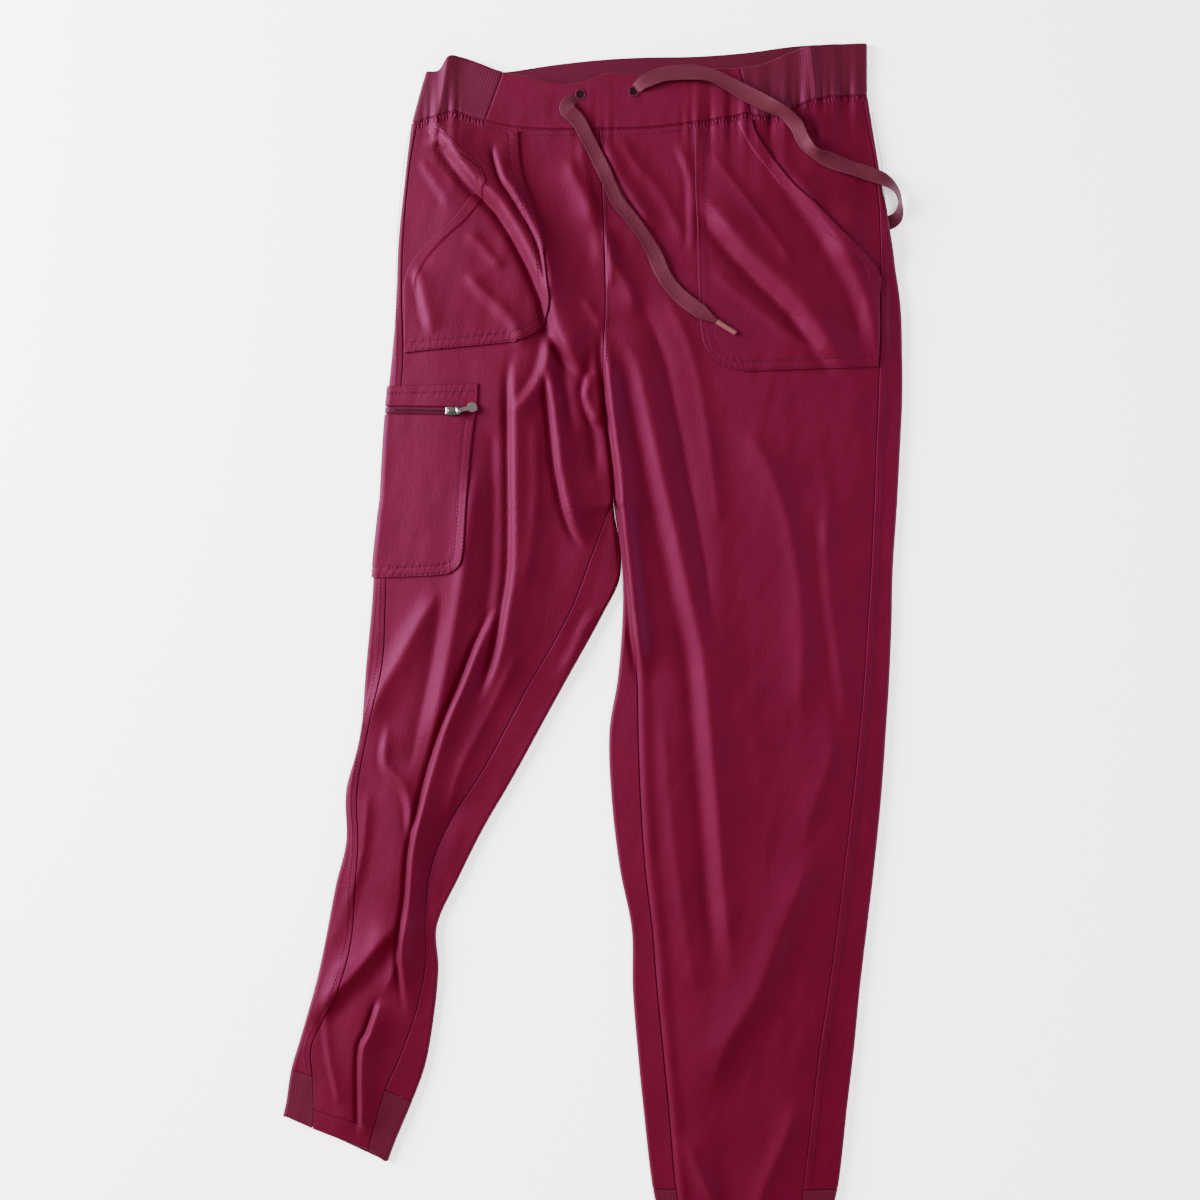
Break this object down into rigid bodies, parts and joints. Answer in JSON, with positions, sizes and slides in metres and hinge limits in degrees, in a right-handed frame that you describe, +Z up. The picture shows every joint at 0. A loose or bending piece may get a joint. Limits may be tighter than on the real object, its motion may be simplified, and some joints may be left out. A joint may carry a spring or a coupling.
{
  "type": "medical scrub trousers",
  "caption": "Jogger-cut scrub trousers laid flat, with a rib waistband, flat drawstring, slanted patch pockets and a zipped cargo pocket.",
  "frame": {"origin": "middle of the garment's footprint on the table, drawstring left out", "axes": "+X towards the wearer's left, +Y towards the waist, +Z up from the table"},
  "size_m": [0.5295, 1.0265, 0.022],
  "materials": {
    "cloth": "smooth twill with a soft sheen",
    "rib_knit": "matt rib knit",
    "drawstring": "flat braided tape",
    "aglet": "satin",
    "zip_tape": "woven tape with coil teeth",
    "zip_metal": "nickel plated"
  },
  "bodies": {
    "garment": {"front_right": "cloth", "front_left": "cloth", "back_right": "cloth", "back_left": "cloth", "cuff_front_right": "cloth", "cuff_front_left": "cloth", "waistband_front": "cloth", "pocket_right": "cloth", "pocket_left": "cloth", "cargo_top": "cloth", "cargo_pocket": "cloth", "waistband_rib": "rib_knit", "cuff_back_right": "rib_knit", "cuff_back_left": "rib_knit", "zip_tape": "zip_tape", "zip_slider": "zip_metal", "drawstring_right": "drawstring", "drawstring_left": "drawstring", "aglet_right": "aglet", "aglet_left": "aglet"},
    "zip_pull_tab": {"zip_pull": "zip_metal"}
  },
  "joints": [
    {"name": "pull_hinge", "type": "hinge", "parent": "garment", "child": "zip_pull_tab", "pos_m": [-0.1135, 0.199, 0.0149], "axis": [0.2588, -0.9659, 0], "range_deg": [0, 150]}
  ]
}
